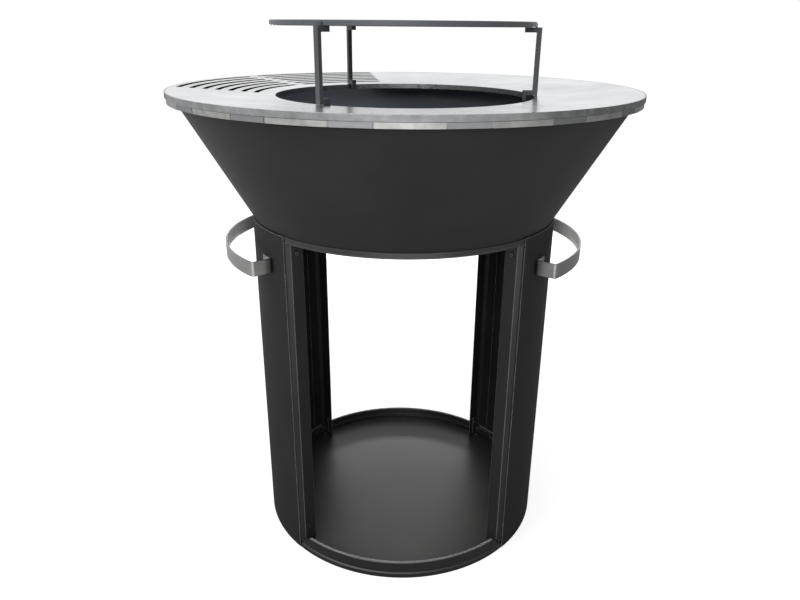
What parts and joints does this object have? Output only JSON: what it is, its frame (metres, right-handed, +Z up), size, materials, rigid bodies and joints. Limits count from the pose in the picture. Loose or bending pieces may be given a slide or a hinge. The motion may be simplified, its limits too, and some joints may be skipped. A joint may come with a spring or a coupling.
{
  "type": "round barbecue grill",
  "caption": "Wood-fired round grill: conical fire bowl on an open drum base, dished steel cooking plate with a slotted sector and a fire hole, and a raised round plate above it.",
  "frame": {"origin": "on the ground, on the grill's axis, under the base ring", "axes": "+Z up; -Y the front that the picture shows, +X to the right of that view"},
  "size_m": [0.7999, 0.8, 0.9435],
  "materials": {
    "drum_black": "matt heat-resistant black coating",
    "floor_grey": "satin dark grey coating",
    "bowl_black": "matt heat-resistant black coating",
    "plate_steel": "bare ground steel",
    "band_steel": "bare brushed steel",
    "handle_steel": "brushed steel",
    "bolt_steel": "blackened steel",
    "rack_grey": "dark grey coating",
    "disc_grey": "dark grey coating"
  },
  "bodies": {
    "base": {"base_ring": "drum_black", "floor_plate": "floor_grey", "left_panel": "drum_black", "right_panel": "drum_black", "upper_ring": "drum_black", "neck_hoop": "drum_black", "upper_tabs": "drum_black", "lower_brackets": "drum_black", "panel_top_bolts": "bolt_steel", "panel_top_nuts": "bolt_steel", "panel_bottom_bolts": "bolt_steel", "panel_bottom_nuts": "bolt_steel", "bracket_screws": "bolt_steel", "left_handle": "handle_steel", "right_handle": "handle_steel", "handle_bolts": "bolt_steel", "handle_nuts": "bolt_steel", "upright_back_right": "drum_black", "upright_front_right": "drum_black", "upright_back_left": "drum_black", "upright_front_left": "drum_black"},
    "bowl": {"bowl_wall": "bowl_black", "bowl_floor": "bowl_black", "bowl_rim": "bowl_black"},
    "rim": {"rim_band": "band_steel"},
    "plate": {"cooking_plate": "plate_steel"},
    "rack": {"rack_leg_right": "rack_grey", "rack_clip_right": "rack_grey", "rack_hook_right": "rack_grey", "rack_leg_back": "rack_grey", "rack_clip_back": "rack_grey", "rack_hook_back": "rack_grey", "rack_leg_front": "rack_grey", "rack_clip_front": "rack_grey", "rack_hook_front": "rack_grey"},
    "disc": {"rack_plate": "disc_grey"}
  },
  "joints": [
    {"name": "bowl_lift", "type": "slide", "parent": "base", "child": "bowl", "axis": [0, 0, 1], "range_m": [0, 0.15]},
    {"name": "band_lift", "type": "slide", "parent": "bowl", "child": "rim", "axis": [0, 0, 1], "range_m": [0, 0.12]},
    {"name": "plate_turn", "type": "hinge", "parent": "rim", "child": "plate", "pos_m": [0, 0, 0.828], "axis": [0, 0, 1], "continuous": true},
    {"name": "rack_lift", "type": "slide", "parent": "plate", "child": "rack", "axis": [0, 0, 1], "range_m": [0, 0.12]},
    {"name": "disc_lift", "type": "slide", "parent": "rack", "child": "disc", "axis": [0, 0, 1], "range_m": [0, 0.1]}
  ]
}
